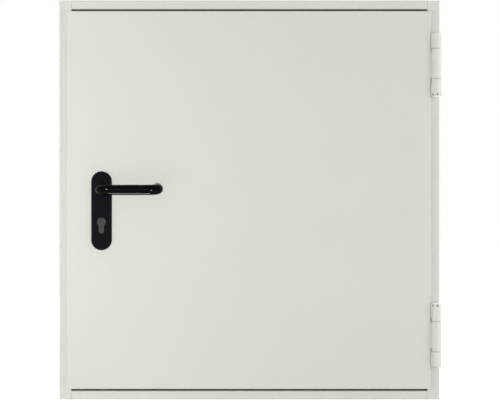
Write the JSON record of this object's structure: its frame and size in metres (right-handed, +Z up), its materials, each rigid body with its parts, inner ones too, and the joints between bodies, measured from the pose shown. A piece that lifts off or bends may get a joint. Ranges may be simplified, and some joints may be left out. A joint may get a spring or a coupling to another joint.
{
  "type": "fire access hatch",
  "caption": "Wall hatch of folded steel: a side-hung insulated leaf on spring hinges, closed by a lever handle and a key lock, in a frame with a wall flange.",
  "frame": {"origin": "on the back of the sill's wall lip, at the middle of the frame's width, 7.5 mm above the frame's bottom edge", "axes": "+X to the right seen from the leaf's front, +Y into the wall, +Z up"},
  "size_m": [0.8394, 0.169, 0.878],
  "materials": {
    "cream_paint": "satin grey-white powder coat on folded steel",
    "bare_steel": "zinc-plated steel",
    "grey_metal": "dull grey nickel",
    "ring_brass": "plain bearing metal",
    "seal_rubber": "black sealing rubber",
    "fire_strip": "dark grey swelling strip",
    "mineral_board": "light mineral fibre board",
    "plate_plastic": "satin black plastic",
    "lever_plastic": "polished black plastic"
  },
  "bodies": {
    "frame": {"lock_jamb": "cream_paint", "hinge_jamb": "cream_paint", "sill": "cream_paint", "header": "cream_paint", "upper_hinge_frame_part": "cream_paint", "upper_hinge_tension_collar": "cream_paint", "lower_hinge_frame_part": "cream_paint", "lower_hinge_tension_collar": "cream_paint", "upper_hinge_pin": "bare_steel", "upper_hinge_rings": "ring_brass", "anchor_lock_upper": "bare_steel", "anchor_hinge_upper": "bare_steel", "lower_hinge_pin": "bare_steel", "lower_hinge_rings": "ring_brass", "anchor_lock_lower": "bare_steel", "anchor_hinge_lower": "bare_steel", "strike_box": "bare_steel", "seal_lock_side": "seal_rubber", "seal_hinge_side": "seal_rubber", "seal_bottom": "seal_rubber", "seal_top": "seal_rubber"},
    "leaf": {"leaf_front_skin": "cream_paint", "leaf_back_skin": "cream_paint", "leaf_core": "mineral_board", "fire_strip_lock": "fire_strip", "fire_strip_hinge": "fire_strip", "fire_strip_bottom": "fire_strip", "fire_strip_top": "fire_strip", "security_bolt_upper": "bare_steel", "security_bolt_lower": "bare_steel", "lock_forend": "bare_steel", "lock_case": "bare_steel", "latch_bolt": "bare_steel", "dead_bolt": "bare_steel", "cylinder_insert": "grey_metal", "front_plate": "plate_plastic", "rear_plate": "plate_plastic", "upper_hinge_leaf_part": "cream_paint", "lower_hinge_leaf_part": "cream_paint"},
    "handle": {"spindle": "bare_steel", "front_lever": "lever_plastic", "rear_lever": "lever_plastic"}
  },
  "joints": [
    {"name": "leaf_swing", "type": "hinge", "parent": "frame", "child": "leaf", "pos_m": [0.4108, -0.027, 0.4315], "axis": [0, 0, 1], "range_deg": [0, 170], "stiffness_Nm_per_rad": 3, "springref_deg": -34.38},
    {"name": "lever_turn", "type": "hinge", "parent": "leaf", "child": "handle", "pos_m": [-0.324, -0.034, 0.4535], "axis": [0, 1, 0], "range_deg": [0, 38], "stiffness_Nm_per_rad": 1.6, "springref_deg": -20.05}
  ]
}
